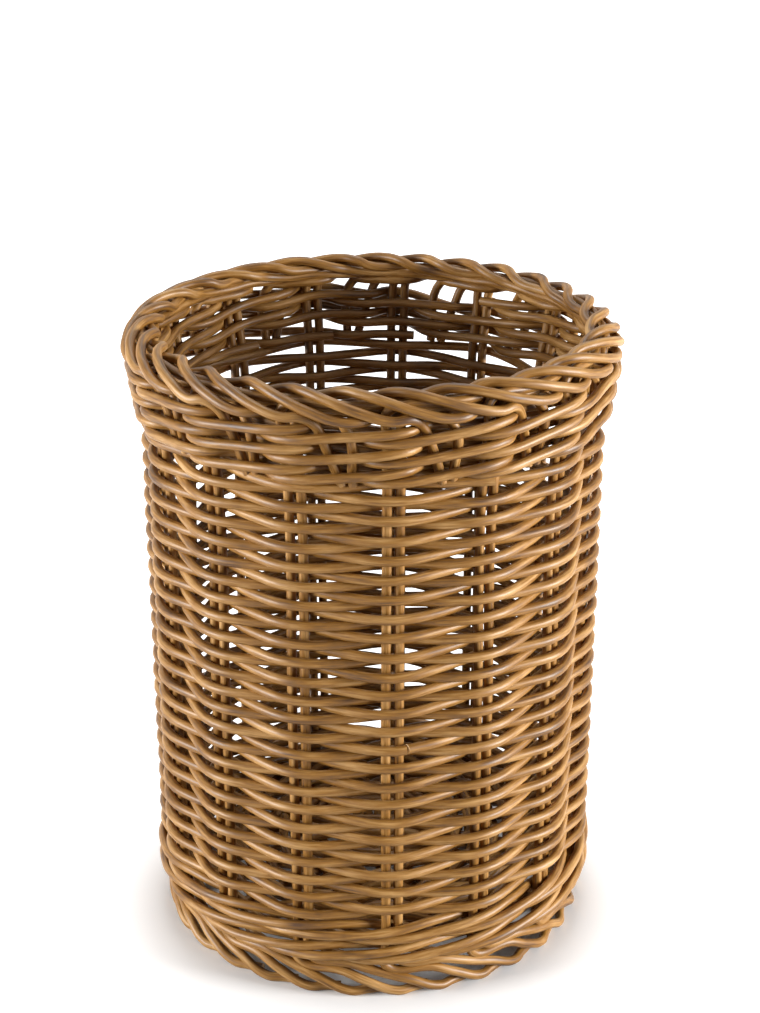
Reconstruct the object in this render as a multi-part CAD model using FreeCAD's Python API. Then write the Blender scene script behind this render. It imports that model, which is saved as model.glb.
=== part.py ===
import FreeCAD, Part
import math
import os
from collections import namedtuple

# Round woven basket for cutlery, in millimetres.
# The axis is Z, the floor is z = 0 and the front is -Y. A turn is an angle in degrees about
# the axis, from the front to the right. Fifteen pairs of stakes stand in a ring. One long
# weaver winds up round them in a plain weave, so it passes outside one pair and inside the
# next. Below, two rounds of three-rod wale close the wall and the stakes' lower ends sweep
# down to the floor as a foot. Above, three rounds of a three-rod weave make the collar. The
# stakes' upper ends are plaited over it as a rope border and turned down into the collar.

DRIVING_SIZES = (
    ("stations", 15, "pairs of stakes, an odd number so that the spiral weave alternates"),
    ("first_station", 5.1, "turn of the first pair, degrees"),
    ("stake_w", 2.0, "side of a stake and of a base stick"),
    ("weaver_w", 1.9, "side of a weaver across the wall"),
    ("weaver_h", 2.2, "side of a weaver along the wall"),
    ("rod_w", 1.95, "side of a wale and a collar rod"),
    ("pair_pitch", 3.1, "distance between the two stakes of a pair"),
    ("weave_clear", 0.1, "clearance where one cane passes another"),
    ("seat_gap", 0.3, "gap where one cane ends against another"),
    ("foot_r", 54.0, "radius of the stakes at the foot"),
    ("neck_r", 55.05, "radius of the stakes at the top of the wall"),
    ("brim_r", 57.6, "radius of the stakes under the border"),
    ("foot_z", 11.6, "height of the lowest wale rod"),
    ("wall_h", 115.4, "height of the weave between the wale and the collar"),
    ("rope_w", 4.1, "half width of the border at its canes' centres"),
    ("rope_h", 2.75, "half height of the border at its canes' centres"),
    ("base_pitch", 3.4, "distance between the rounds of the base"),
    ("base_start_r", 12.0, "radius where the base weaver starts to tie the sticks"),
    ("tie_r", 22.0, "radius where the tie ends and the plain weave of the base starts"),
    ("slath_r", 9.5, "radius where the base sticks start to spread"),
)

document = FreeCAD.newDocument("CutleryBasket")
sheet = document.addObject("Spreadsheet::Sheet", "Sizes")
for row, (alias, value, meaning) in enumerate(DRIVING_SIZES, start=1):
    sheet.set("A%d" % row, alias)
    sheet.set("B%d" % row, str(value))
    sheet.set("C%d" % row, meaning)
    sheet.setAlias("B%d" % row, alias)
document.recompute()


def size(alias):
    """Value of a driving size."""
    return float(sheet.get(alias))


# ---- sizes worked out from the driving ones ----

STATIONS = int(round(size("stations")))
STEP = 360.0 / STATIONS
FIRST_TURN = size("first_station")
BACK_STATION = STATIONS // 2 + 1

STAKE_W = size("stake_w")
WEAVER_W = size("weaver_w")
WEAVER_H = size("weaver_h")
ROD_W = size("rod_w")
CLEAR = size("weave_clear")
SEAT_GAP = size("seat_gap")

FOOT_R = size("foot_r")
NECK_R = size("neck_r")
BRIM_R = size("brim_r")
SIDE_TURN = math.degrees(size("pair_pitch") / 2 / NECK_R)

ROD_RISE = ROD_W + 5 * CLEAR
WALE_Z = size("foot_z")
WALE_ROUND = 1.5 * ROD_RISE + ROD_W + CLEAR
WALE_ROUNDS = 2
WALE_TOP = WALE_Z + WALE_ROUND + 1.5 * ROD_RISE + ROD_W / 2

ROW_PITCH = WEAVER_H + 2.8 * CLEAR
WALL_Z = WALE_TOP + WEAVER_H / 2 + CLEAR
WALL_TOP = WALL_Z + size("wall_h")
NECK_Z = WALL_TOP - WEAVER_H

COLLAR_ROUNDS = 3
COLLAR_ROUND = 2 * ROD_RISE + CLEAR
COLLAR_Z = WALL_TOP + (WEAVER_H + ROD_W) / 2 + 3 * CLEAR
COLLAR_TOP = COLLAR_Z + (COLLAR_ROUNDS - 1) * COLLAR_ROUND + ROD_RISE + ROD_W / 2
BRIM_Z = COLLAR_TOP - ROD_RISE

LAYER = STAKE_W + 1.5 * CLEAR
TAIL_Z = COLLAR_TOP + STAKE_W / 2 + CLEAR
LOW_Z = TAIL_Z + LAYER
ROPE_R = BRIM_R - 4 * CLEAR
ROPE_Z = TAIL_Z + 2 * LAYER
BEHIND_R = BRIM_R - STAKE_W - 4 * CLEAR
OUTSIDE_R = BRIM_R + STAKE_W + 5 * CLEAR

BASE_Z = WALE_Z + 0.75 * ROD_RISE + WALE_ROUND / 2
STICK_TIP_R = FOOT_R - STAKE_W / 2 - SEAT_GAP
STICK_PITCH = STAKE_W + 3 * CLEAR

Bend = namedtuple("Bend", "turn radius height lean")


def at(turn, radius, height):
    """Point at a turn, a distance from the axis and a height."""
    angle = math.radians(turn)
    return FreeCAD.Vector(radius * math.sin(angle), -radius * math.cos(angle), height)


def side_at(bend):
    """Direction that a cane's outer side faces at a bend."""
    lean = math.radians(bend.lean)
    side = at(bend.turn, math.cos(lean), 0)
    side.z = math.sin(lean)
    return side


def stake_r(height):
    """Radius of the ring of stakes at a height."""
    if height <= NECK_Z:
        return FOOT_R + (NECK_R - FOOT_R) * max(height, 0) / NECK_Z
    share = min((height - NECK_Z) / (BRIM_Z - NECK_Z), 1)
    return NECK_R + (BRIM_R - NECK_R) * share


# ---- one cane ----

GENTLE_RISE = 0.6


def level(direction):
    """Direction without its rise or fall."""
    return FreeCAD.Vector(direction.x, direction.y, 0).normalize()


def ring_at(point, arriving, leaving, side, width, depth):
    """Corners of the mitred section where a cane turns from one run into the next.

    Where a level run meets a gentle slope the section stands upright, so that the level run
    keeps a level underside.
    """
    rises = sorted((abs(arriving.z), abs(leaving.z)))
    if rises[0] < 1e-6 and rises[1] < GENTLE_RISE:
        arriving, leaving = level(arriving), level(leaving)
    along = (arriving + leaving).normalize()
    across = (side - along * side.dot(along)).normalize()
    up = along.cross(across)
    fold = leaving - arriving
    corners = []
    for a, b in ((1, 1), (-1, 1), (-1, -1), (1, -1)):
        corner = across * (a * width / 2) + up * (b * depth / 2)
        if fold.Length > 1e-6:
            stretch = 1 / max(along.dot(arriving), 0.6) - 1
            direction = FreeCAD.Vector(fold).normalize()
            corner = corner + direction * (corner.dot(direction) * stretch)
        corners.append(point + corner)
    return corners


def cane(points, sides, width, depth):
    """Closed solid of a square cane that runs straight from point to point."""
    runs = [(b - a).normalize() for a, b in zip(points, points[1:])]
    arriving = [runs[0]] + runs
    leaving = runs + [runs[-1]]
    corners = []
    for point, before, after, side in zip(points, arriving, leaving, sides):
        corners.extend(ring_at(point, before, after, side, width, depth))
    triangles = [(0, 2, 1), (0, 3, 2)]
    for first in range(0, 4 * len(runs), 4):
        for k in range(4):
            a, b = first + k, first + (k + 1) % 4
            triangles.append((a, b, b + 4))
            triangles.append((a, b + 4, a + 4))
    last = 4 * len(runs)
    triangles.append((last, last + 1, last + 2))
    triangles.append((last, last + 2, last + 3))
    shell = Part.Shape()
    shell.makeShapeFromMesh((corners, triangles), 0.0005)
    return Part.makeSolid(shell).removeSplitter()


def round_cane(bends, width, depth):
    """Cane through bends given about the basket's axis."""
    points = [at(bend.turn, bend.radius, bend.height) for bend in bends]
    return cane(points, [side_at(bend) for bend in bends], width, depth)


def add_node(label, shape, turn=0.0):
    """Document object for one sub-part, turned into place about the axis."""
    feature = document.addObject("Part::Feature", label)
    feature.Label = label
    feature.Shape = shape
    feature.Placement = FreeCAD.Placement(
        FreeCAD.Vector(0, 0, 0), FreeCAD.Rotation(FreeCAD.Vector(0, 0, 1), turn))
    return feature


# ---- stakes, with the foot below and the plaited border above ----

def foot_bends(shift, under_wale, side_turn, bend_z):
    """A stake's lower end, from its tip behind the next stake up to its upright part."""
    floor_z = STAKE_W / 2
    sweep = [
        Bend(38 + shift, FOOT_R - 2.8, floor_z, 0),
        Bend(33 + shift, FOOT_R - 2.2, floor_z, 0),
        Bend(26 + shift, FOOT_R + 0.1, floor_z, 0),
        Bend(17 + shift, FOOT_R + 0.6, floor_z + 3.5, 0),
    ]
    passing = [Bend(turn, FOOT_R + 0.2, height, 0) for turn, height in under_wale]
    return sweep + passing + [Bend(side_turn, FOOT_R, bend_z, 0)]


def rope_bend(turn, clock):
    """Place in the border: clock is 180 on its inner side, 90 on top and 0 outside."""
    angle = math.radians(clock)
    radius = ROPE_R + size("rope_w") * math.cos(angle)
    height = ROPE_Z + size("rope_h") * math.sin(angle)
    return Bend(turn, radius, height, clock - 180)


UNDER_CLOCK = 206
CROSSING = ((0, 150), (8, 100), (20, 58), (34, 4), (41, -25))


def crossing_bends(start_turn):
    """A cane's way over the border, from its inner side to its outer side."""
    return [rope_bend(start_turn + travel, clock) for travel, clock in CROSSING]


def over_stake():
    """Left stake of a pair: it crosses over the right one into the border."""
    under_z = WALE_Z - ROD_W / 2 - STAKE_W - LAYER + 0.8
    foot = foot_bends(0, [(11, under_z)], -SIDE_TURN, WALE_Z - 2.7)
    upright = [
        Bend(-SIDE_TURN, NECK_R, NECK_Z, 0),
        Bend(-SIDE_TURN, BRIM_R, BRIM_Z, 0),
        Bend(-SIDE_TURN, BRIM_R, ROPE_Z - 1.5, 0),
    ]
    inner = [
        Bend(2, ROPE_R + 0.1, ROPE_Z - 0.2, 0),
        Bend(8, ROPE_R - 2.3, ROPE_Z + 0.1, -15),
    ]
    turned_down = [
        Bend(60, OUTSIDE_R, LOW_Z - 0.2, -190),
        Bend(65, BRIM_R + 1.6, TAIL_Z + 1.2, -190),
        Bend(68.6, BEHIND_R, TAIL_Z + 0.1, -180),
        Bend(80.5, BEHIND_R + 0.8, TAIL_Z - 0.1, -180),
        Bend(84.3, BRIM_R + 0.1, TAIL_Z - 0.7, -180),
        Bend(86.2, stake_r(WALL_TOP + 1.5), WALL_TOP + 1.5, -180),
    ]
    return foot + upright + inner + crossing_bends(12) + turned_down


def under_stake():
    """Right stake of a pair: it stays under the left one on its way into the border."""
    under_z = WALE_Z - ROD_W / 2 - STAKE_W / 2 - 3 * CLEAR
    next_z = WALE_Z - 2.7 - STAKE_W - 3 * CLEAR
    foot = foot_bends(10, [(21.4, next_z), (13.5, under_z)], SIDE_TURN, WALE_Z - 0.6)
    upright = [
        Bend(SIDE_TURN, NECK_R, NECK_Z, 0),
        Bend(SIDE_TURN, BRIM_R, BRIM_Z, 0),
        Bend(SIDE_TURN, BRIM_R, LOW_Z - 0.5, 0),
    ]
    inner = [
        Bend(4, BRIM_R - 1.3, LOW_Z, 0),
        Bend(8, BRIM_R - 3.0, LOW_Z + 0.1, 0),
        rope_bend(12, UNDER_CLOCK),
    ]
    turned_down = [
        Bend(72, OUTSIDE_R, LOW_Z - 0.2, -190),
        Bend(76.5, OUTSIDE_R, LOW_Z - 0.9, -190),
        Bend(79.3, BRIM_R + 0.9, TAIL_Z - 0.3, -180),
        Bend(80.6, BRIM_R + 0.1, BRIM_Z, -180),
        Bend(83.2, stake_r(WALL_TOP + 1.5), WALL_TOP + 1.5, -180),
    ]
    return foot + upright + inner + crossing_bends(24) + turned_down


stake_pair = Part.makeCompound([
    round_cane(over_stake(), STAKE_W, STAKE_W),
    round_cane(under_stake(), STAKE_W, STAKE_W),
])
for station in range(STATIONS):
    add_node("stake_pair_%02d" % (station + 1), stake_pair, FIRST_TURN + STEP * station)


# ---- wall weaver ----

def weave_offsets(radius):
    """How far the weaver's bends lie outside and inside the ring of stakes."""
    inside = STAKE_W / 2 + WEAVER_W / 2 + 4 * CLEAR
    outside = inside
    for _ in range(4):
        run = 2 * math.pi * radius / STATIONS
        slope = math.atan2(outside + inside + radius * (1 - math.cos(math.radians(STEP))), run)
        outside = ((STAKE_W + WEAVER_W) / 2 + CLEAR) / math.cos(slope)
        outside += size("pair_pitch") / 2 * math.tan(slope) + STAKE_W / 2 * math.sin(slope)
    return outside, inside


def wall_bend(count):
    """Bend of the weaver at a station, counted from the start of its spiral."""
    height = WALL_Z + ROW_PITCH * count / STATIONS
    outside, inside = weave_offsets(stake_r(height))
    offset = -inside if count % 2 else outside
    turn = FIRST_TURN + STEP * (BACK_STATION + count)
    return Bend(turn, stake_r(height) + offset, height, 0)


def between(bend, following, share):
    """Place on the straight run between two bends."""
    start = at(bend.turn, bend.radius, bend.height)
    end = at(following.turn, following.radius, following.height)
    point = start + (end - start) * share
    turn = math.degrees(math.atan2(point.x, -point.y))
    return Bend(turn, math.hypot(point.x, point.y), point.z, 0)


JOIN_SHARE = 0.13
WALL_END = int(round(size("wall_h") / ROW_PITCH * STATIONS))


def wall_length(first, last):
    """One length of the weaver, cut just past a station at each join."""
    bends = [wall_bend(count) for count in range(first, last + 1)]
    gap_share = SEAT_GAP / (2 * math.pi * NECK_R / STATIONS)
    if first > 0:
        bends[0] = between(bends[0], bends[1], JOIN_SHARE + gap_share)
    if last < WALL_END:
        bends.append(between(bends[-1], wall_bend(last + 1), JOIN_SHARE))
    return round_cane(bends, WEAVER_W, WEAVER_H)


wall_joins = [int(round(WALL_END * share)) for share in (0, 0.21, 0.418, 0.71, 1)]
for number, (first, last) in enumerate(zip(wall_joins, wall_joins[1:]), start=1):
    add_node("wall_weaver_%d" % number, wall_length(first, last))


# ---- wale and collar rods ----

def stepped_height(low, rise, travelled, step_end, step):
    """Height of a rod: level rounds, each with a step up to the next that ends at step_end."""
    rounds, part = divmod(travelled - step_end + step, 360.0)
    return low + rise * (rounds - 1 + min(part / step, 1)) if rounds else low


def rod_bends(pattern, pairs_passed, number, first_pair, rounds, step, low, rise):
    """Bends of a rod that repeats a pattern of (travel, offset, lift) round the stakes.

    Travel is in degrees for a spacing of 24 degrees between pairs, and the rod reaches its
    first pair after first_pair degrees. Each further rod starts one pair later.
    """
    start_turn = FIRST_TURN + STEP * BACK_STATION - first_pair
    end = first_pair + 360 * rounds - step
    bends = []
    travelled = start = STEP * number
    while start < end:
        for travel, offset, lift in pattern:
            travelled = start + travel * STEP / 24
            if travelled <= end:
                height = stepped_height(low, rise, travelled, first_pair, step) + lift
                radius = stake_r(height) + offset
                bends.append(Bend(start_turn + travelled, radius, height, 0))
        start += pairs_passed * STEP
    return bends


PASS = (STAKE_W + ROD_W) / 2
WALE_PATTERN = (
    (0, 0.0, 0.0),
    (12, PASS + 7.5 * CLEAR, 0.25 * ROD_RISE),
    (24, PASS + 9 * CLEAR, 0.75 * ROD_RISE),
    (36, PASS + 7.5 * CLEAR, 1.25 * ROD_RISE),
    (48, 0.0, 1.5 * ROD_RISE),
    (60, -PASS - 5 * CLEAR, 0.75 * ROD_RISE),
)
for number in range(3):
    bends = rod_bends(WALE_PATTERN, 3, number, STEP / 2, WALE_ROUNDS, STEP,
                      WALE_Z, WALE_ROUND)
    add_node("wale_rod_%d" % (number + 1), round_cane(bends, ROD_W, ROD_W))

COLLAR_PATTERN = (
    (3.6, PASS + 8 * CLEAR, -0.05 * ROD_RISE),
    (18, PASS + 7 * CLEAR, 0.5 * ROD_RISE),
    (32.4, PASS + 8 * CLEAR, 1.05 * ROD_RISE),
    (37.2, -PASS - 5 * CLEAR, ROD_RISE),
    (53, -PASS - 5 * CLEAR, 0.48 * ROD_RISE),
    (69, -PASS - 5 * CLEAR, -0.2 * ROD_RISE),
)
for number in range(3):
    bends = rod_bends(COLLAR_PATTERN, 3, number, STEP / 4, COLLAR_ROUNDS, 2 * STEP,
                      COLLAR_Z, COLLAR_ROUND)
    add_node("collar_rod_%d" % (number + 1), round_cane(bends, ROD_W, ROD_W))


# ---- base ----

def tip(station):
    """End of a base stick, against a pair of stakes."""
    return at(FIRST_TURN + STEP * station, STICK_TIP_R, BASE_Z)


def stick_points(lane, front, back, crosswise):
    """Route of a base stick: from one pair, straight through the middle, to another pair."""
    offset = STICK_PITCH * (lane - 1.5)
    reach = size("slath_r")
    if crosswise:
        height = BASE_Z + LAYER / 2
        knees = [FreeCAD.Vector(reach, offset, height), FreeCAD.Vector(-reach, offset, height)]
    else:
        height = BASE_Z - LAYER / 2
        knees = [FreeCAD.Vector(offset, -reach, height), FreeCAD.Vector(offset, reach, height)]
    return [tip(front)] + knees + ([tip(back)] if back is not None else [])


LONG_STICKS = [(lane, lane - 2, 9 - lane) for lane in range(4)]
CROSS_STICKS = [(lane, 2 + lane, 12 - lane if lane < 3 else None) for lane in range(4)]
LONG_ENDS = [end % STATIONS for lane, front, back in LONG_STICKS for end in (front, back)]
spokes = {}
for crosswise, sticks in ((False, LONG_STICKS), (True, CROSS_STICKS)):
    for lane, front, back in sticks:
        points = stick_points(lane, front, back, crosswise)
        spokes[front % STATIONS] = (points[1], points[0])
        if back is not None:
            spokes[back % STATIONS] = (points[2], points[3])
        upward = [FreeCAD.Vector(0, 0, 1)] * len(points)
        kind = "cross" if crosswise else "long"
        add_node("base_%s_stick_%d" % (kind, lane + 1), cane(points, upward, STAKE_W, STAKE_W))


def on_spoke(station, radius):
    """Point of a spoke's centre line at a distance from the axis."""
    knee, end = spokes[station % STATIONS]
    low, high = 0.0, 1.0
    for _ in range(30):
        share = (low + high) / 2
        point = knee + (end - knee) * share
        if math.hypot(point.x, point.y) < radius:
            low = share
        else:
            high = share
    return point


def base_pass(radius):
    """How far the base weaver's bends lie over and under the sticks."""
    depth = (STAKE_W + WEAVER_W) / 2
    for _ in range(6):
        slope = math.atan2(2 * depth, 2 * math.pi * radius / STATIONS)
        depth = (STAKE_W + WEAVER_W) / 2 / math.cos(slope) + STAKE_W / 2 * math.tan(slope) + CLEAR
    return depth


BASE_OUTER_R = FOOT_R - PASS - ROD_W / 2 - WEAVER_W / 2 - 8 * CLEAR
TIE_R = size("tie_r")
base_points = []
radius = size("base_start_r")
count = 0
while radius < BASE_OUTER_R:
    point = on_spoke(count, radius)
    if radius < TIE_R:
        over_arm = count % STATIONS in LONG_ENDS
        point.z += base_pass(BASE_OUTER_R) * (1 if over_arm else -1)
    else:
        point.z += base_pass(radius) * (1 if count % 2 else -1)
    base_points.append(point)
    count += 1
    radius += size("base_pitch") / STATIONS
base_sides = [FreeCAD.Vector(point.x, point.y, 0).normalize() for point in base_points]
add_node("base_weaver", cane(base_points, base_sides, WEAVER_W, WEAVER_W))

# ---- checks and export ----

document.recompute()
os.makedirs("parts", exist_ok=True)
for item in document.Objects:
    if "Invalid" in item.State or "Error" in item.State:
        raise RuntimeError("%s did not recompute: %s" % (item.Label, item.State))
    if item.isDerivedFrom("Part::Feature"):
        if item.Shape.isNull() or not item.Shape.isValid():
            raise RuntimeError("%s has no valid shape" % item.Label)
        item.Shape.exportStep("parts/%s.step" % item.Label)
print("nodes", len([item for item in document.Objects if item.isDerivedFrom("Part::Feature")]))
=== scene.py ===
"""Round woven basket for cutlery: every cane dressed as a round, satin, streaked synthetic cane.

The basket's axis is Z, the floor is z = 0 and the front is -Y. A turn is an angle in degrees
about the axis, from the front to the right. Lengths are in millimetres until a point is made.
"""

from __future__ import annotations

import logging
import math
import random
from dataclasses import dataclass, field
from enum import Enum
from typing import Sequence

import bpy
import numpy as np
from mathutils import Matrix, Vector

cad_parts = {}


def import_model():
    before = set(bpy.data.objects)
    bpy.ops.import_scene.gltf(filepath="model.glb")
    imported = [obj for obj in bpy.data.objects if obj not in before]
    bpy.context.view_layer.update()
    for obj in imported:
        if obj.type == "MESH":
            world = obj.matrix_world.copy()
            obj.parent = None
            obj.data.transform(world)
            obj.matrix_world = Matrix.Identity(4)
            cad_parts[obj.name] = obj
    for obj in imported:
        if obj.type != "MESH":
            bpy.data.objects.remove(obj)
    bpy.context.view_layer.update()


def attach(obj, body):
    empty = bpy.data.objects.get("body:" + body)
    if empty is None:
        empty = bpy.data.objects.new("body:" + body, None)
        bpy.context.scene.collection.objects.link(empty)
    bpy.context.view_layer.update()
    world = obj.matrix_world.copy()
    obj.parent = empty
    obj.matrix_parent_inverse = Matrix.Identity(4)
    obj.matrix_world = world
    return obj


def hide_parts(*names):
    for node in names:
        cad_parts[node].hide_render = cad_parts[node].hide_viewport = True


LOG = logging.getLogger("basket")
MM = 0.001
WHITE = (1.0, 1.0, 1.0, 1.0)

# Places along a cane. Each is a turn in degrees, a radius and a height, or what is added to them.
Route = tuple[tuple[float, float, float], ...]


class Face(Enum):
    """Material slot of a face of a cane."""

    SKIN = 0
    CUT = 1


class Way(Enum):
    """How a stick of the base lies: from front to back, or across."""

    LONG = "long"
    CROSS = "cross"


@dataclass(frozen=True)
class Knot:
    """A place on a cane's centre line."""

    turn: float
    radius: float
    height: float

    def point(self) -> Vector:
        """Gives the place in metres.

        Returns:
            The point.
        """
        angle = math.radians(self.turn)
        right = self.radius * math.sin(angle)
        back = -self.radius * math.cos(angle)
        return Vector((right, back, self.height)) * MM


def linear(hex_colour: str) -> tuple[float, float, float, float]:
    """Linear colour of an sRGB hex value.

    Args:
        hex_colour: six hex digits.

    Returns:
        Red, green, blue and an alpha of 1.
    """
    channels = [int(hex_colour[i:i + 2], 16) / 255 for i in (0, 2, 4)]
    # The numbers are those of the sRGB standard.
    red, green, blue = [
        value / 12.92 if value <= 0.04045 else ((value + 0.055) / 1.055) ** 2.4
        for value in channels
    ]
    return red, green, blue, 1.0


def add_node(tree: bpy.types.NodeTree, kind: str, settings: dict | None = None,
             links: dict | None = None) -> bpy.types.Node:
    """Adds a shader node.

    Args:
        tree: the tree to add to.
        kind: the node's type name.
        settings: attribute or socket values by name, set in their order.
        links: output sockets by the name or number of the input that they feed.

    Returns:
        The new node.
    """
    node = tree.nodes.new(kind)
    for name, value in (settings or {}).items():
        if name in node.inputs:
            node.inputs[name].default_value = value
        else:
            setattr(node, name, value)
    for name, output in (links or {}).items():
        tree.links.new(output, node.inputs[name])
    return node


# ---- finishes ----

@dataclass(frozen=True)
class CaneFinish:
    """Extruded polyethylene cane, coloured in the mass and drawn with fine lengthwise streaks.

    The streaks and the slow change of tone along each cane give the look of natural rattan. The
    skin is satin: a soft pale line of light runs along the top of each cane. The real streaks
    are hair-fine, so they are drawn a few times as wide, to show.

    Attributes:
        name: name of the material.
        deep: colour in the streaks.
        golden: colour between them.
        pale: colour of the lightest threads.
        deep_at: value of the pattern up to which it is deep.
        golden_at: value at which it is golden.
        pale_at: value from which it is pale.
        tone_mm: length of a slow change of tone.
        tone_round: changes of tone across half of the skin.
        tone_detail: octaves of the slow change.
        streak_mm: length of a streak.
        streaks_round: streaks across half of the skin.
        streak_detail: octaves of the streaks.
        streak_grit: weight of their finer octaves.
        streak_share: share of the streaks in the pattern, beside the slow change.
        groove_mm: depth of a streak.
        groove_strength: share of that depth which shows.
        roughness: roughness of the skin.
        ior: index of refraction, a little below polyethylene's 1.51, for a duller skin.
    """

    name: str = "extruded satin cane"
    deep: str = "4E3012"
    golden: str = "926529"
    pale: str = "C4985E"
    deep_at: float = 0.34
    golden_at: float = 0.5
    pale_at: float = 0.66
    tone_mm: float = 34.0
    tone_round: float = 0.8
    tone_detail: float = 2.0
    streak_mm: float = 11.0
    streaks_round: float = 4.5
    streak_detail: float = 3.0
    streak_grit: float = 0.6
    streak_share: float = 0.6
    groove_mm: float = 0.03
    groove_strength: float = 0.35
    roughness: float = 0.44
    ior: float = 1.46

    def _noise(self, tree: bpy.types.NodeTree, across: float, length_mm: float,
               settings: dict[str, float]) -> bpy.types.NodeSocket:
        """Adds noise that is drawn out along the cane.

        Args:
            tree: the material's tree.
            across: how often it changes across half of the skin.
            length_mm: how far it reaches along the cane.
            settings: further settings of the noise.

        Returns:
            The noise's output.
        """
        uv = add_node(tree, "ShaderNodeUVMap", {"uv_map": "UVMap"})
        drawn_out = add_node(tree, "ShaderNodeMapping",
                             {"Scale": (across, 1 / (length_mm * MM), 1)},
                             {"Vector": uv.outputs["UV"]})
        noise = add_node(tree, "ShaderNodeTexNoise", {"Scale": 1.0, **settings},
                         {"Vector": drawn_out.outputs["Vector"]})
        return noise.outputs["Fac"]

    def material(self) -> bpy.types.Material:
        """Makes the material, which reads the cane's own UV map: around by along in metres.

        Returns:
            The material.
        """
        material = bpy.data.materials.new(self.name)
        material.use_nodes = True
        tree = material.node_tree
        shader = tree.nodes["Principled BSDF"]
        tone = self._noise(tree, self.tone_round, self.tone_mm, {"Detail": self.tone_detail})
        streak = self._noise(tree, self.streaks_round, self.streak_mm,
                             {"Detail": self.streak_detail, "Roughness": self.streak_grit})
        mixed = add_node(tree, "ShaderNodeMix",
                         {"data_type": "FLOAT", "Factor": self.streak_share},
                         {"A": tone, "B": streak})
        ramp = add_node(tree, "ShaderNodeValToRGB", links={"Fac": mixed.outputs["Result"]})
        elements = ramp.color_ramp.elements
        elements[0].position, elements[0].color = self.deep_at, linear(self.deep)
        elements[1].position, elements[1].color = self.pale_at, linear(self.pale)
        elements.new(self.golden_at).color = linear(self.golden)
        bump = add_node(tree, "ShaderNodeBump",
                        {"Strength": self.groove_strength, "Distance": self.groove_mm * MM},
                        {"Height": streak})
        tree.links.new(ramp.outputs["Color"], shader.inputs["Base Color"])
        tree.links.new(bump.outputs["Normal"], shader.inputs["Normal"])
        shader.inputs["Roughness"].default_value = self.roughness
        shader.inputs["IOR"].default_value = self.ior
        return material


@dataclass(frozen=True)
class CutFinish:
    """The sawn end of a cane: paler than the skin, and matt."""

    name: str = "sawn cane end"
    colour: str = "D9B98A"
    roughness: float = 0.7
    ior: float = 1.5

    def material(self) -> bpy.types.Material:
        """Makes the material.

        Returns:
            The material.
        """
        material = bpy.data.materials.new(self.name)
        material.use_nodes = True
        shader = material.node_tree.nodes["Principled BSDF"]
        shader.inputs["Base Color"].default_value = linear(self.colour)
        shader.inputs["Roughness"].default_value = self.roughness
        shader.inputs["IOR"].default_value = self.ior
        return material


# ---- canes ----

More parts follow.
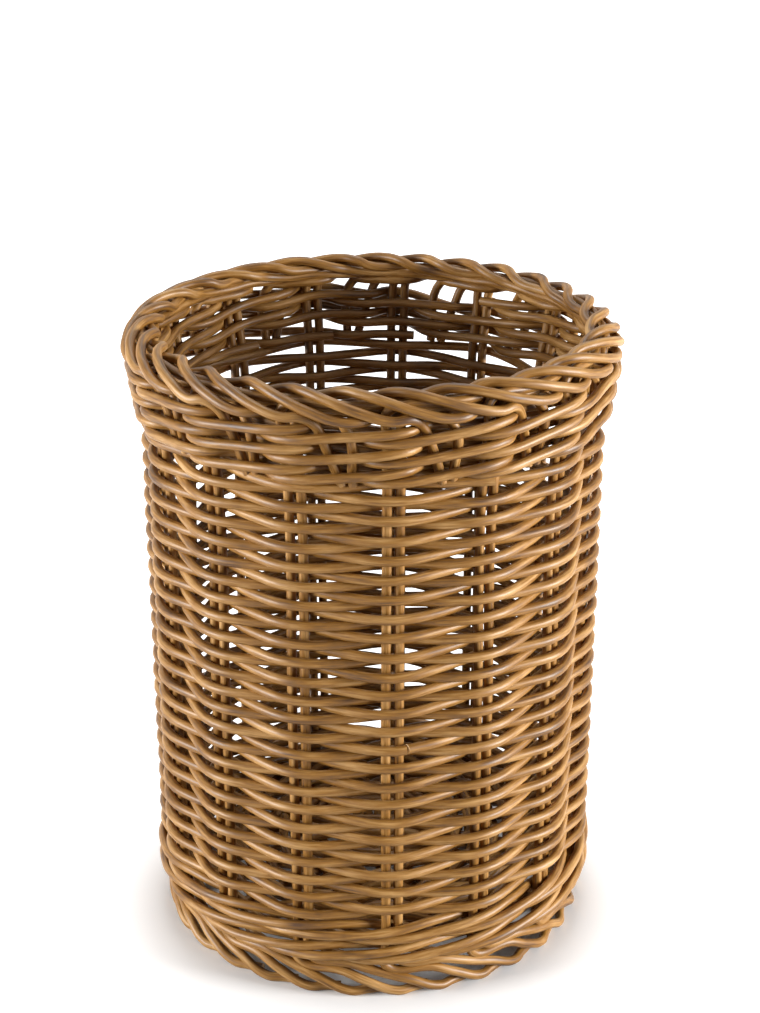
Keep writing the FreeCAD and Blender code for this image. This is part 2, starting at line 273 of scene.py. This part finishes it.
@dataclass
class CaneMaker:
    """Turns the centre line of a cane into a round solid with a lengthwise UV map.

    Attributes:
        skin: material of the sides.
        cut: material of the ends.
        diameter: diameter of a cane, unless it is given.
        roundness: how finely the section is rounded.
        shift_m: how much further along the pattern each cane starts than the one before it, so
            that no two look alike.
        made: number of canes made so far.
    """

    skin: bpy.types.Material
    cut: bpy.types.Material
    diameter: float = 2.40
    roundness: int = 4
    shift_m: float = 1.7
    made: int = 0

    @property
    def sides(self) -> int:
        """Sides of the section: four, and two more for each step of roundness."""
        return 4 + 2 * self.roundness

    def strand(self, name: str, points: Sequence[Vector], steps: int,
               diameter: float | None = None) -> bpy.types.Object:
        """Makes one cane along a smooth curve through points.

        Args:
            name: name of the new object.
            points: places on the centre line, in metres.
            steps: rings from one point to the next.
            diameter: diameter, if not the usual one.

        Returns:
            The mesh object, at the origin.
        """
        curve = bpy.data.curves.new(name, "CURVE")
        curve.dimensions = "3D"
        curve.bevel_depth = (diameter or self.diameter) / 2 * MM
        curve.bevel_resolution = self.roundness
        curve.use_fill_caps = True
        curve.twist_mode = "MINIMUM"
        spline = curve.splines.new("BEZIER")
        spline.resolution_u = steps
        spline.bezier_points.add(len(points) - 1)
        for knot, point in zip(spline.bezier_points, points):
            knot.co = point
            knot.handle_left_type = knot.handle_right_type = "AUTO"
        cane = bpy.data.objects.new(name, curve)
        bpy.context.scene.collection.objects.link(cane)
        bpy.ops.object.select_all(action="DESELECT")
        cane.select_set(True)
        bpy.context.view_layer.objects.active = cane
        bpy.ops.object.convert(target="MESH")
        self._dress(cane)
        return cane

    def _dress(self, cane: bpy.types.Object) -> None:
        """Gives a converted cane its two materials, its lengthwise UV map and smooth sides.

        Args:
            cane: the mesh object.
        """
        mesh = cane.data
        mesh.materials.clear()
        mesh.materials.append(self.skin)
        mesh.materials.append(self.cut)
        places = np.empty(len(mesh.vertices) * 3)
        mesh.vertices.foreach_get("co", places)
        # The vertices of the two ends come first, and then the rings in their order.
        rings = places.reshape(-1, self.sides, 3)[2:].mean(axis=1)
        lengths = np.linalg.norm(np.diff(rings, axis=0), axis=1)
        travel = np.concatenate(([0.0], np.cumsum(lengths)))
        # The curve's own map runs from 0 to 1 along the cane, and from 0 to 1 around it.
        layer = mesh.uv_layers[0]
        layer.name = "UVMap"
        uv = np.empty(len(mesh.loops) * 2)
        layer.uv.foreach_get("vector", uv)
        uv = uv.reshape(-1, 2)
        ring = np.rint(uv[:, 0] * (len(rings) - 1)).astype(int)
        self.made += 1
        # The way around is folded, so that the pattern meets itself without a seam.
        uv[:, 0] = abs(2 * uv[:, 1] - 1)
        uv[:, 1] = travel[ring] + self.shift_m * self.made
        layer.uv.foreach_set("vector", uv.ravel())
        for polygon in mesh.polygons:
            # The ends are fans of triangles, and the sides have faces with four corners.
            is_end = len(polygon.vertices) == 3
            polygon.material_index = (Face.CUT if is_end else Face.SKIN).value
            polygon.use_smooth = not is_end

    def joined(self, name: str, canes: Sequence[bpy.types.Object]) -> bpy.types.Object:
        """Joins canes into one object.

        Args:
            name: name of the joined object.
            canes: the canes, of which the first takes up the others.

        Returns:
            The joined object.
        """
        bpy.ops.object.select_all(action="DESELECT")
        for cane in canes:
            cane.select_set(True)
        bpy.context.view_layer.objects.active = canes[0]
        bpy.ops.object.join()
        canes[0].name = canes[0].data.name = name
        return canes[0]


def stand_for(piece: bpy.types.Object, node: str) -> None:
    """Puts a finished piece in the place of its CAD node.

    Args:
        piece: the finished piece.
        node: name of the CAD node.
    """
    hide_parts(node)
    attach(piece, "root")
    LOG.info("%s: %d faces", piece.name, len(piece.data.polygons))


@dataclass(frozen=True)
class Plan:
    """Sizes that the sub-assemblies share.

    Attributes:
        stations: number of pairs of stakes.
        first_turn: turn of the first pair.
        back_station: the pair at the back, where canes begin.
        pair_pitch: distance between the two stakes of a pair.
        foot_radius: radius of the ring of stakes at the floor.
        neck_radius: the same at the top of the wall.
        brim_radius: the same under the border.
        neck_height: height of the top of the wall.
        brim_height: height of the underside of the border.
    """

    stations: int = 15
    first_turn: float = 5.1
    back_station: int = 8
    pair_pitch: float = 3.1
    foot_radius: float = 54.0
    neck_radius: float = 55.05
    brim_radius: float = 57.6
    neck_height: float = 136.4
    brim_height: float = 151.9

    @property
    def step(self) -> float:
        """Degrees from one pair of stakes to the next."""
        return 360 / self.stations

    @property
    def side_turn(self) -> float:
        """Degrees from a pair's middle to each of its stakes."""
        return math.degrees(self.pair_pitch / 2 / self.neck_radius)

    def turn(self, station: float) -> float:
        """Turn of a pair of stakes, counted from the front."""
        return self.first_turn + self.step * station

    def stake_radius(self, height: float) -> float:
        """Radius of the ring of stakes.

        Args:
            height: height above the floor.

        Returns:
            The radius at that height: nearly even in the wall, and wider under the border.
        """
        if height <= self.neck_height:
            rise = max(height, 0) / self.neck_height
            return self.foot_radius + (self.neck_radius - self.foot_radius) * rise
        share = min((height - self.neck_height) / (self.brim_height - self.neck_height), 1)
        return self.neck_radius + (self.brim_radius - self.neck_radius) * share


# ---- sub-assemblies ----

@dataclass
class WallWeaver:
    """The long cane that winds up the wall, outside one pair of stakes and inside the next.

    Attributes:
        plan: the shared sizes.
        maker: makes the canes.
        diameter: diameter of the weaver.
        start_height: height at which it starts.
        pitch: height of one turn.
        joins: pairs passed where each length begins, and where the last one ends.
        overlap: how far past a join, in pairs, the lengths meet.
        gap: what is left open there, in pairs.
        pass_by: distance from the ring of stakes to the weaver as it passes a pair.
        loose_turns: turns at the top that are pushed up at the back.
        back_lift: how far the last of them is pushed up.
        wander: how far places are out of true, as by hand.
        steps: rings from one place to the next.
        seed: start of the random draws.
    """

    plan: Plan
    maker: CaneMaker
    diameter: float = 2.44
    start_height: float = 22.86
    pitch: float = 2.48
    joins: tuple[int, ...] = (0, 147, 292, 496, 698)
    overlap: float = 0.13
    gap: float = 0.01
    pass_by: float = 2.42
    loose_turns: int = 2
    back_lift: float = 1.3
    wander: float = 0.13
    steps: int = 4
    seed: int = 11

    def lift(self, count: float) -> float:
        """How far the last turns are pushed up at the back, to close up with the collar.

        Args:
            count: pairs passed.

        Returns:
            The lift.
        """
        left = self.joins[-1] - count
        loose = self.loose_turns * self.plan.stations
        if left > loose:
            return 0.0
        toward_back = abs(math.sin(math.pi * left / self.plan.stations))
        return self.back_lift * (1 - left / loose) * toward_back

    def knot(self, count: float, rng: random.Random) -> Knot:
        """Place on the spiral, a little out of true as by hand.

        Args:
            count: pairs passed.
            rng: source of the random draws.

        Returns:
            The place.
        """
        height = self.start_height + self.pitch * count / self.plan.stations + self.lift(count)
        swing = self.pass_by * math.cos(math.pi * count)
        radius = self.plan.stake_radius(height) + swing + rng.gauss(0, self.wander / 2)
        return Knot(self.plan.turn(self.plan.back_station + count), radius,
                    height + rng.gauss(0, self.wander))

    def counts(self, first: int, last: int) -> list[float]:
        """Places of one length, two for each pair that it passes.

        Args:
            first: pairs passed where the length begins.
            last: pairs passed where it ends.

        Returns:
            The places, as pairs passed.
        """
        start = first + self.overlap + self.gap if first else first
        end = last + self.overlap if last < self.joins[-1] else last
        halves = [half / 2 for half in range(2 * first + 1, 2 * last + 1)]
        return sorted(count for count in {start, *halves, end} if start <= count <= end)

    def build(self) -> None:
        """Makes the lengths of the weaver."""
        rng = random.Random(self.seed)
        for number, (first, last) in enumerate(zip(self.joins, self.joins[1:]), start=1):
            points = [self.knot(count, rng).point() for count in self.counts(first, last)]
            cane = self.maker.strand("wall_cane_%d" % number, points, self.steps, self.diameter)
            stand_for(cane, "wall_weaver_%d" % number)


@dataclass(frozen=True)
class StakeRoute:
    """Listed way of one stake of a pair, with turns from the pair's middle.

    Attributes:
        side: -1 for the left stake and 1 for the right one.
        foot_turn: turn added to the swept foot.
        under_wale: places from the swept foot up to the wall.
        bend: height at which the stake stands upright.
        top: height at which it leaves the wall for the border.
        inner: its run along the inner side of the border.
        cross_turn: where it starts to cross over the border.
        turned_down: its end beyond the border, outside or behind it.
        tuck_turn: where it goes into the collar.
    """

    side: int
    foot_turn: float
    under_wale: Route
    bend: float
    top: float
    inner: Route
    cross_turn: float
    turned_down: Route
    tuck_turn: float


# The left stake crosses over the right one into the border, and its end passes behind the next.
OVER_STAKE = StakeRoute(
    side=-1,
    foot_turn=0.0,
    under_wale=((11, 54.2, 7.3),),
    bend=8.9,
    top=157.5,
    inner=((2, 57.3, 158.9), (8, 57.3, 159.0), (14, 57.1, 158.8), (20, 56.2, 158.8),
           (26, 54.8, 159.1)),
    cross_turn=32.0,
    turned_down=((64.4, 60.0, 155.9), (68.6, 55.3, 155.7), (80.5, 56.0, 155.4),
                 (84.3, 57.7, 154.7)),
    tuck_turn=86.4,
)

# The right stake stays under the left one on its way into the border, and its end slants down.
UNDER_STAKE = StakeRoute(
    side=1,
    foot_turn=11.5,
    under_wale=((22.4, 54.2, 6.5), (13.5, 54.2, 9.3)),
    bend=11.0,
    top=155.2,
    inner=((4, 57.0, 156.9), (8, 56.3, 157.0), (14, 56.0, 157.0), (20, 55.0, 157.5),
           (26, 54.8, 157.4), (32, 54.8, 157.6), (38, 54.6, 158.5)),
    cross_turn=43.5,
    turned_down=((75.4, 60.1, 156.2), (78.0, 58.5, 154.2), (80.2, 57.3, 149.5)),
    tuck_turn=83.7,
)


@dataclass
class StakePairs:
    """Pairs of stakes, with the swept foot below and the plaited border above.

    Attributes:
        plan: the shared sizes.
        maker: makes the canes.
        routes: ways of the two stakes of a pair.
        sweep: the swept foot from its tip, added to the ring at the floor and to a cane that
            lies on the floor.
        bend_lean: how far the stake leans out above its bend.
        bend_rise: height over which it straightens.
        wall_middle: a height in the middle of the wall.
        crossing: way over the border from its inner to its outer side.
        collar_foot: height at which a turned-down end stops in the collar.
        wander: how far places are out of true, as by hand.
        floor_zone: height up to which a stake lies on the floor and keeps its height.
        steps: rings from one place to the next.
        seed: start of the random draws.
    """

    plan: Plan
    maker: CaneMaker
    routes: tuple[StakeRoute, StakeRoute] = (OVER_STAKE, UNDER_STAKE)
    sweep: Route = ((34, -1.8, 0.0), (30, -1.1, 0.0), (25.5, 0.2, 0.1), (17, 0.6, 3.6))
    bend_lean: float = 0.05
    bend_rise: float = 6.0
    wall_middle: float = 80.0
    crossing: Route = ((0, 53.5, 159.8), (3.5, 54.1, 160.9), (8, 56.7, 161.3), (14, 59.2, 160.2),
                       (21, 60.7, 158.1), (28, 61.0, 156.2))
    collar_foot: float = 138.9
    wander: float = 0.10
    floor_zone: float = 2.0
    steps: int = 8
    seed: int = 23

    def foot(self, route: StakeRoute) -> list[Knot]:
        """A stake's lower end, from its tip behind the next stake up to the wale.

        Args:
            route: the stake's way.

        Returns:
            The places.
        """
        base = self.plan.foot_radius
        floor = self.maker.diameter / 2
        swept = [Knot(turn + route.foot_turn, base + offset, floor + lift)
                 for turn, offset, lift in self.sweep]
        return swept + [Knot(*place) for place in route.under_wale]

    def upright(self, route: StakeRoute) -> list[Knot]:
        """A stake's upright part, from its bend to the border.

        Args:
            route: the stake's way.

        Returns:
            The places.
        """
        plan = self.plan
        places = (
            (plan.foot_radius, route.bend),
            (plan.foot_radius + self.bend_lean, route.bend + self.bend_rise),
            (plan.stake_radius(self.wall_middle), self.wall_middle),
            (plan.neck_radius, plan.neck_height),
            (plan.brim_radius, plan.brim_height),
            (plan.brim_radius, route.top),
        )
        return [Knot(route.side * plan.side_turn, radius, height) for radius, height in places]

    def border(self, route: StakeRoute) -> list[Knot]:
        """A stake's upper end, through the border and down into the collar.

        Args:
            route: the stake's way.

        Returns:
            The places.
        """
        inner = [Knot(*place) for place in route.inner]
        across = [Knot(route.cross_turn + travel, radius, height)
                  for travel, radius, height in self.crossing]
        down = [Knot(*place) for place in route.turned_down]
        tuck = Knot(route.tuck_turn, self.plan.stake_radius(self.collar_foot), self.collar_foot)
        return inner + across + down + [tuck]

    def moved(self, knot: Knot, station: int, rng: random.Random) -> Knot:
        """A place brought to its pair, and a little out of true.

        Args:
            knot: the place, with its turn from the pair's middle.
            station: number of the pair.
            rng: source of the random draws.

        Returns:
            The place on the basket.
        """
        return Knot(knot.turn + self.plan.turn(station) + rng.gauss(0, self.wander),
                    knot.radius + rng.gauss(0, self.wander / 2),
                    knot.height + rng.gauss(0, self.wander) * (knot.height > self.floor_zone))

    def build(self) -> None:
        """Makes the pairs, each a little different."""
        rng = random.Random(self.seed)
        for station in range(self.plan.stations):
            canes = []
            for route in self.routes:
                knots = self.foot(route) + self.upright(route) + self.border(route)
                points = [self.moved(knot, station, rng).point() for knot in knots]
                canes.append(self.maker.strand("stake", points, self.steps))
            pair = self.maker.joined("paired_canes_%02d" % (station + 1), canes)
            stand_for(pair, "stake_pair_%02d" % (station + 1))


@dataclass
class Rods:
    """Rods that wind round the stakes in rounds and repeat a pattern of places.

    Attributes:
        plan: the shared sizes.
        maker: makes the canes.
        kind: what the rods belong to, as their names say.
        rods: number of rods, each of which starts one pair after the one before it.
        rounds: number of rounds.
        pairs_passed: pairs that the pattern passes.
        first_pair: travel at which the rods pass their first pair.
        step_pairs: pairs over which a rod steps up to its next round.
        low: height of the first round.
        rise: height of a round.
        pattern: places that repeat, each a travel, an offset from the stakes and a lift.
        seed: start of the random draws.
        lead_in: places before the first pattern.
        wander: how far places are out of true, as by hand.
        steps: rings from one place to the next.
    """

    plan: Plan
    maker: CaneMaker
    kind: str
    rods: int
    rounds: int
    pairs_passed: int
    first_pair: float
    step_pairs: int
    low: float
    rise: float
    pattern: Route
    seed: int
    lead_in: Route = ()
    wander: float = 0.10
    steps: int = 5

    def height(self, travelled: float) -> float:
        """Height of a rod: level rounds, each with a step up to the next at the back.

        Args:
            travelled: degrees from the start of the first rod.

        Returns:
            The height.
        """
        step = self.step_pairs * self.plan.step
        rounds, part = divmod(travelled - self.first_pair + step, 360.0)
        return self.low + self.rise * (rounds - 1 + min(part / step, 1)) if rounds else self.low

    def knots(self, number: int, rng: random.Random) -> list[Knot]:
        """Places of one rod.

        Args:
            number: number of the rod, from 0.
            rng: source of the random draws.

        Returns:
            The places, from the rod's start to its end.
        """
        step = self.plan.step
        start_turn = self.plan.turn(self.plan.back_station) - self.first_pair
        end = self.first_pair + 360 * self.rounds - self.step_pairs * step
        start = step * number
        knots = []
        for travel, offset, lift in self.lead_in:
            height = self.low + lift
            radius = self.plan.stake_radius(height) + offset
            knots.append(Knot(start_turn + start + travel, radius, height))
        while start < end:
            for travel, offset, lift in self.pattern:
                travelled = start + travel
                if travelled <= end:
                    height = self.height(travelled) + lift
                    radius = self.plan.stake_radius(height) + offset
                    knots.append(Knot(start_turn + travelled,
                                      radius + rng.gauss(0, self.wander / 2),
                                      height + rng.gauss(0, self.wander)))
            start += self.pairs_passed * step
        return knots

    def build(self) -> None:
        """Makes the rods."""
        rng = random.Random(self.seed)
        for number in range(self.rods):
            points = [knot.point() for knot in self.knots(number, rng)]
            cane = self.maker.strand("%s_cane_%d" % (self.kind, number + 1), points, self.steps)
            stand_for(cane, "%s_rod_%d" % (self.kind, number + 1))


# Height that a rod takes up where it lies on another.
ROD_HEIGHT = 2.45


def wale(plan: Plan, maker: CaneMaker) -> Rods:
    """The two rounds of three-rod wale under the wall: outside two pairs, inside the next.

    Args:
        plan: the shared sizes.
        maker: makes the canes.

    Returns:
        The rods, not yet built.
    """
    pattern = ((0, 0.2, 0.0), (12, 2.42, 0.25 * ROD_HEIGHT), (24, 2.75, 0.75 * ROD_HEIGHT),
               (36, 2.42, 1.25 * ROD_HEIGHT), (48, 0.2, 1.5 * ROD_HEIGHT),
               (60, -2.42, 0.75 * ROD_HEIGHT))
    return Rods(plan, maker, "wale", rods=3, rounds=2, pairs_passed=3, first_pair=12,
                step_pairs=1, low=11.6, rise=5.725, pattern=pattern, seed=9)


def collar(plan: Plan, maker: CaneMaker) -> Rods:
    """The three rounds of three-rod weave under the border, which takes in its ends too.

    Args:
        plan: the shared sizes.
        maker: makes the canes.

    Returns:
        The rods, not yet built.
    """
    pattern = ((4.2, 2.42, -0.05 * ROD_HEIGHT), (18, 2.6, 0.5 * ROD_HEIGHT),
               (31.8, 2.42, 1.05 * ROD_HEIGHT), (38, -2.35, ROD_HEIGHT),
               (53, -2.45, 0.46 * ROD_HEIGHT), (68.4, -2.35, -0.2 * ROD_HEIGHT))
    lead_in = ((-23, -2.4, 0.0), (-14, -2.5, 0.1), (-4, -2.4, -0.1))
    return Rods(plan, maker, "collar", rods=3, rounds=3, pairs_passed=3, first_pair=6,
                step_pairs=2, low=140.5, rise=5.1, pattern=pattern, lead_in=lead_in, seed=11)


@dataclass
class Base:
    """Four sticks crossing three and a half, tied and woven in a spiral.

    Attributes:
        plan: the shared sizes.
        maker: makes the canes.
        lanes: sticks that lie each way.
        height: height between the two layers of sticks.
        layer: height from one layer to the other.
        stick_pitch: distance between sticks that lie side by side.
        knee_reach: distance from the middle at which sticks spread.
        straight_shares: further places between a stick's knees, which keep it straight.
        tip_radius: radius at which the sticks end, against the stakes.
        start_radius: radius at which the weaver starts.
        tie_radius: radius up to which it ties the sticks in their fours.
        outer_radius: radius at which it ends.
        pitch: distance between its turns.
        pass_by: distance from a stick to the weaver that passes it.
        halvings: halvings with which a place on a spoke is found.
        stick_steps: rings from one place of a stick to the next.
        weaver_steps: rings from one place of the weaver to the next.
        spokes: knee and tip of the spoke at each pair of stakes.
    """

    plan: Plan
    maker: CaneMaker
    lanes: int = 4
    height: float = 16.3
    layer: float = 2.15
    stick_pitch: float = 2.45
    knee_reach: float = 9.5
    straight_shares: tuple[float, ...] = (0.15, 0.5, 0.85)
    tip_radius: float = 52.7
    start_radius: float = 12.0
    tie_radius: float = 22.0
    outer_radius: float = 50.9
    pitch: float = 2.62
    pass_by: float = 2.4
    halvings: int = 24
    stick_steps: int = 12
    weaver_steps: int = 6
    spokes: dict[int, tuple[Vector, Vector]] = field(default_factory=dict)

    def tip(self, station: int) -> Vector:
        """End of a stick, against a pair of stakes."""
        return Knot(self.plan.turn(station), self.tip_radius, self.height).point()

    def stations(self, way: Way, lane: int) -> tuple[int, int]:
        """Pairs of stakes at which a stick ends.

        Args:
            way: how the stick lies.
            lane: its number among those that lie the same way.

        Returns:
            The pairs at its first and its last end.
        """
        return (lane - 2, 9 - lane) if way is Way.LONG else (lane + 2, 12 - lane)

    def knees(self, way: Way, lane: int) -> tuple[Vector, Vector]:
        """Places where a stick leaves its neighbours.

        Args:
            way: how the stick lies.
            lane: its number among those that lie the same way.

        Returns:
            The knees near its first and its last end.
        """
        offset = self.stick_pitch * (lane - (self.lanes - 1) / 2)
        reach = self.knee_reach
        if way is Way.LONG:
            level = self.height - self.layer / 2
            return Vector((offset, -reach, level)) * MM, Vector((offset, reach, level)) * MM
        level = self.height + self.layer / 2
        return Vector((reach, offset, level)) * MM, Vector((-reach, offset, level)) * MM

    def stick(self, way: Way, lane: int) -> None:
        """Makes a stick and notes the spokes that it forms.

        Args:
            way: how the stick lies.
            lane: its number among those that lie the same way. The last one across is a half
                stick, which stops at its second knee and makes the number of spokes odd.
        """
        first, last = self.stations(way, lane)
        near, far = self.knees(way, lane)
        middle = [near.lerp(far, share) for share in self.straight_shares]
        points = [self.tip(first), near, *middle, far]
        self.spokes[first % self.plan.stations] = (near, points[0])
        if way is Way.LONG or lane < self.lanes - 1:
            points.append(self.tip(last))
            self.spokes[last % self.plan.stations] = (far, points[-1])
        name = "base_%s_cane_%d" % (way.value, lane + 1)
        cane = self.maker.strand(name, points, self.stick_steps)
        stand_for(cane, "base_%s_stick_%d" % (way.value, lane + 1))

    def on_spoke(self, count: int, radius: float) -> Vector:
        """Point of a spoke's centre line.

        Args:
            count: spokes passed, from the first pair of stakes.
            radius: distance from the axis.

        Returns:
            The point.
        """
        knee, tip = self.spokes[count % self.plan.stations]
        low, high, share = 0.0, 1.0, 0.5
        for _ in range(self.halvings):
            share = (low + high) / 2
            if knee.lerp(tip, share).xy.length < radius * MM:
                low = share
            else:
                high = share
        return knee.lerp(tip, share)

    def weaver(self) -> None:
        """Makes the weaver, which ties the sticks and then passes over and under each spoke."""
        long_ends = {station % self.plan.stations for lane in range(self.lanes)
                     for station in self.stations(Way.LONG, lane)}
        points = []
        radius = self.start_radius
        while radius < self.outer_radius:
            count = len(points)
            if radius < self.tie_radius:
                above = count % self.plan.stations in long_ends
            else:
                above = count % 2 == 1
            point = self.on_spoke(count, radius)
            point.z += self.pass_by * MM * (1 if above else -1)
            points.append(point)
            radius += self.pitch / self.plan.stations
        cane = self.maker.strand("base_winding_cane", points, self.weaver_steps)
        stand_for(cane, "base_weaver")

    def build(self) -> None:
        """Makes the sticks and the weaver."""
        for way in Way:
            for lane in range(self.lanes):
                self.stick(way, lane)
        self.weaver()


# ---- studio ----

def seen_rays(tree: bpy.types.NodeTree) -> bpy.types.NodeSocket:
    """Adds nodes that tell the rays that see the backdrop from those that carry its light.

    Args:
        tree: the tree to add to.

    Returns:
        An output that is 1 for the rays that see it and 0 for the others.
    """
    path = add_node(tree, "ShaderNodeLightPath")
    seen = path.outputs["Is Camera Ray"]
    for ray in ("Is Glossy Ray", "Is Transmission Ray"):
        either = add_node(tree, "ShaderNodeMath", {"operation": "MAXIMUM"},
                          {0: seen, 1: path.outputs[ray]})
        seen = either.outputs[0]
    return seen


@dataclass(frozen=True)
class PaperFinish:
    """Matt paper that looks white but for the basket's soft shadow, and gives back little light.

    Its glow to the eye grows with the distance from the basket's axis, a painted shade around the
    basket, and there is none below it, a painted shade there, so that no bright floor shows
    through the weave.

    Attributes:
        name: name of the material.
        as_light: colour by which the paper lights the basket.
        as_seen: colour that the eye sees.
        reach_m: distance that counts as 1 in the next three.
        painted_shade_to: distance up to which it has no glow: painted shade under the basket.
        painted_shade_at: distance at which it has the near glow.
        full_at: distance from which it glows white.
        painted_shade_glow: glow at the foot of the basket, lower than far off: painted shade
            around it.
        roughness: roughness of the paper.
        specular: level of its reflections.
    """

    name: str = "white paper floor"
    as_light: str = "8C8C8C"
    as_seen: str = "F0F0F0"
    reach_m: float = 0.3
    painted_shade_to: float = 0.17
    painted_shade_at: float = 0.24
    full_at: float = 0.85
    painted_shade_glow: float = 0.65
    roughness: float = 0.9
    specular: float = 0.1

    def _glow(self, tree: bpy.types.NodeTree, seen: bpy.types.NodeSocket) -> bpy.types.NodeSocket:
        """Adds the nodes of the glow.

        Args:
            tree: the material's tree.
            seen: 1 for the rays that see the paper.

        Returns:
            The output with the glow's strength.
        """
        place = add_node(tree, "ShaderNodeTexCoord")
        away = add_node(tree, "ShaderNodeVectorMath", {"operation": "LENGTH"},
                        {"Vector": place.outputs["Object"]})
        reach = add_node(tree, "ShaderNodeMapRange", {"From Max": self.reach_m},
                         {"Value": away.outputs["Value"]})
        glow = add_node(tree, "ShaderNodeValToRGB", links={"Fac": reach.outputs["Result"]})
        # No glow under the basket and less glow near it: painted shade on the floor below and
        # around the basket.
        under, far = glow.color_ramp.elements
        under.position = self.painted_shade_to
        far.position = self.full_at
        near = glow.color_ramp.elements.new(self.painted_shade_at)
        near.color = (self.painted_shade_glow, self.painted_shade_glow, self.painted_shade_glow, 1)
        strength = add_node(tree, "ShaderNodeMath", {"operation": "MULTIPLY"},
                            {0: seen, 1: glow.outputs["Color"]})
        return strength.outputs[0]

    def material(self) -> bpy.types.Material:
        """Makes the material.

        Returns:
            The material.
        """
        material = bpy.data.materials.new(self.name)
        material.use_nodes = True
        tree = material.node_tree
        shader = tree.nodes["Principled BSDF"]
        seen = seen_rays(tree)
        colour = add_node(
            tree, "ShaderNodeMix",
            {"data_type": "RGBA", "A": linear(self.as_light), "B": linear(self.as_seen)},
            {"Factor": seen})
        tree.links.new(colour.outputs["Result"], shader.inputs["Base Color"])
        tree.links.new(self._glow(tree, seen), shader.inputs["Emission Strength"])
        shader.inputs["Emission Color"].default_value = WHITE
        shader.inputs["Roughness"].default_value = self.roughness
        shader.inputs["Specular IOR Level"].default_value = self.specular
        return material


@dataclass(frozen=True)
class Lamp:
    """A square soft lamp that faces the middle of the basket, with lengths in metres."""

    name: str
    place: tuple[float, float, float]
    size: float
    watts: float
    aim: tuple[float, float, float] = (0.0, 0.0, 0.09)

    def build(self) -> None:
        """Makes the lamp."""
        facing = (Vector(self.aim) - Vector(self.place)).to_track_quat("-Z", "Y").to_euler()
        bpy.ops.object.light_add(type="AREA", location=self.place, rotation=facing)
        lamp = bpy.context.object
        lamp.name = self.name
        lamp.data.size = self.size
        lamp.data.energy = self.watts


@dataclass(frozen=True)
class Studio:
    """Pale floor, soft lamps and the camera.

    Attributes:
        lens_mm: focal length.
        sensor_mm: width of the camera's sensor.
        camera_mm: place of the camera.
        camera_tilt: degrees by which it is turned up from looking straight down.
        floor_m: length of the floor's sides.
        world_light: strength of the surround as a light.
        lamps: the lamps.
    """

    lens_mm: float = 77.0
    sensor_mm: float = 36.0
    camera_mm: tuple[float, float, float] = (1.8, -514.1, 320.7)
    camera_tilt: float = 67.83
    floor_m: float = 6.0
    world_light: float = 0.02
    lamps: tuple[Lamp, ...] = (
        Lamp("right lamp", (1.28, -0.36, 0.28), size=0.45, watts=35.0),
        Lamp("left lamp", (-1.25, -0.34, 0.28), size=0.5, watts=26.0),
        Lamp("top lamp", (0.0, 0.5, 1.2), size=0.6, watts=6.0),
    )

    def camera(self) -> None:
        """Places the camera."""
        bpy.ops.object.camera_add(location=[length * MM for length in self.camera_mm],
                                  rotation=(math.radians(self.camera_tilt), 0, 0))
        camera = bpy.context.object
        camera.data.lens = self.lens_mm
        camera.data.sensor_width = self.sensor_mm
        bpy.context.scene.camera = camera

    def floor(self) -> None:
        """Adds the floor."""
        bpy.ops.mesh.primitive_plane_add(size=self.floor_m, location=(0, 0, 0))
        floor = bpy.context.object
        floor.name = "floor"
        floor.data.materials.append(PaperFinish().material())

    def world(self) -> None:
        """Sets an even white surround, bright to the eye and low as a light."""
        world = bpy.data.worlds.new("white surround")
        bpy.context.scene.world = world
        world.use_nodes = True
        tree = world.node_tree
        background = tree.nodes["Background"]
        background.inputs["Color"].default_value = WHITE
        strength = add_node(tree, "ShaderNodeMapRange", {"To Min": self.world_light},
                            {"Value": seen_rays(tree)})
        tree.links.new(strength.outputs["Result"], background.inputs["Strength"])

    def build(self) -> None:
        """Makes the studio."""
        bpy.context.scene.view_settings.view_transform = "Standard"
        self.world()
        self.floor()
        for lamp in self.lamps:
            lamp.build()
        self.camera()


def main() -> None:
    """Builds the basket and the studio."""
    logging.basicConfig(level=logging.INFO, format="%(message)s")
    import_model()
    bpy.ops.object.select_all(action="DESELECT")
    maker = CaneMaker(CaneFinish().material(), CutFinish().material())
    plan = Plan()
    WallWeaver(plan, maker).build()
    StakePairs(plan, maker).build()
    wale(plan, maker).build()
    collar(plan, maker).build()
    Base(plan, maker).build()
    Studio().build()


if __name__ == "__main__":
    main()
